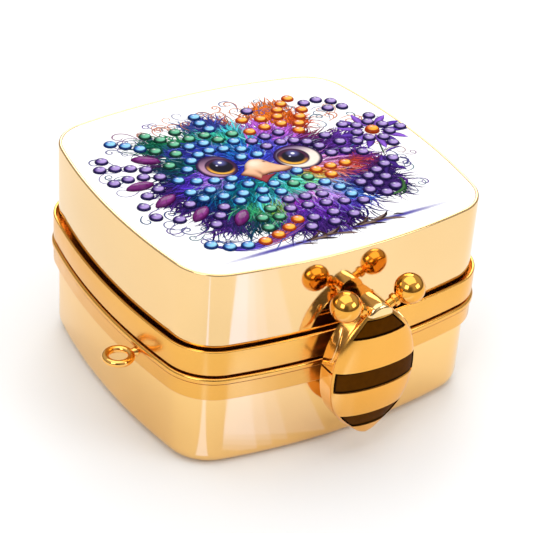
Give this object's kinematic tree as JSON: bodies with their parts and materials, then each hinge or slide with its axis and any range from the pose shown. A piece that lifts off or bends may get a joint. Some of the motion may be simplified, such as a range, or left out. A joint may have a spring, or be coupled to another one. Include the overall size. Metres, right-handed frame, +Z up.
{
  "type": "pill box",
  "caption": "Small bowed-square gilt metal pill box with a rear hinge, a bee clasp, side chain eyes, a divided tray and a lid picture set with stick-on gems.",
  "frame": {"origin": "middle of the flat bottom, on the surface the box stands on", "axes": "+Z up, -Y towards the clasp at the front, +X to the right as the clasp is faced"},
  "size_m": [0.0756, 0.0714, 0.0386],
  "materials": {
    "peach_gold": "polished pale gold plating",
    "deep_gold": "polished yellow gold plating",
    "brown_enamel": "glossy dark brown enamel",
    "white_plate": "smooth white printed plate",
    "tray_plastic": "satin moulded",
    "lining_felt": "short felt",
    "blue_resin": "clear tinted resin",
    "green_resin": "clear tinted resin",
    "orange_resin": "clear tinted resin",
    "purple_resin": "clear tinted resin",
    "magenta_resin": "clear tinted resin"
  },
  "bodies": {
    "base": {"base_shell": "peach_gold", "base_frame": "deep_gold", "seating_lip": "deep_gold", "pill_tray": "tray_plastic", "tray_divider": "tray_plastic", "left_chain_eye": "deep_gold", "right_chain_eye": "deep_gold", "base_hinge_leaf": "deep_gold", "hinge_pin": "deep_gold", "lower_clasp_lug": "deep_gold"},
    "lid": {"lid_shell": "peach_gold", "lid_frame": "deep_gold", "lid_lining": "lining_felt", "lid_hinge_leaf": "deep_gold", "upper_clasp_lug": "deep_gold", "bee_body": "deep_gold", "bee_head": "deep_gold", "left_antenna": "deep_gold", "right_antenna": "deep_gold", "wings": "deep_gold", "picture_plate": "white_plate", "flower_gem": "orange_resin", "marquise_gems": "magenta_resin", "lower_stripe": "brown_enamel", "middle_stripe": "brown_enamel", "upper_stripe": "brown_enamel", "blue_gems": "blue_resin", "green_gems": "green_resin", "orange_gems": "orange_resin", "purple_gems": "purple_resin"}
  },
  "joints": [
    {"name": "lid_hinge", "type": "hinge", "parent": "base", "child": "lid", "pos_m": [0, 0.0324, 0.0189], "axis": [-1, 0, 0], "range_deg": [0, 100]}
  ]
}
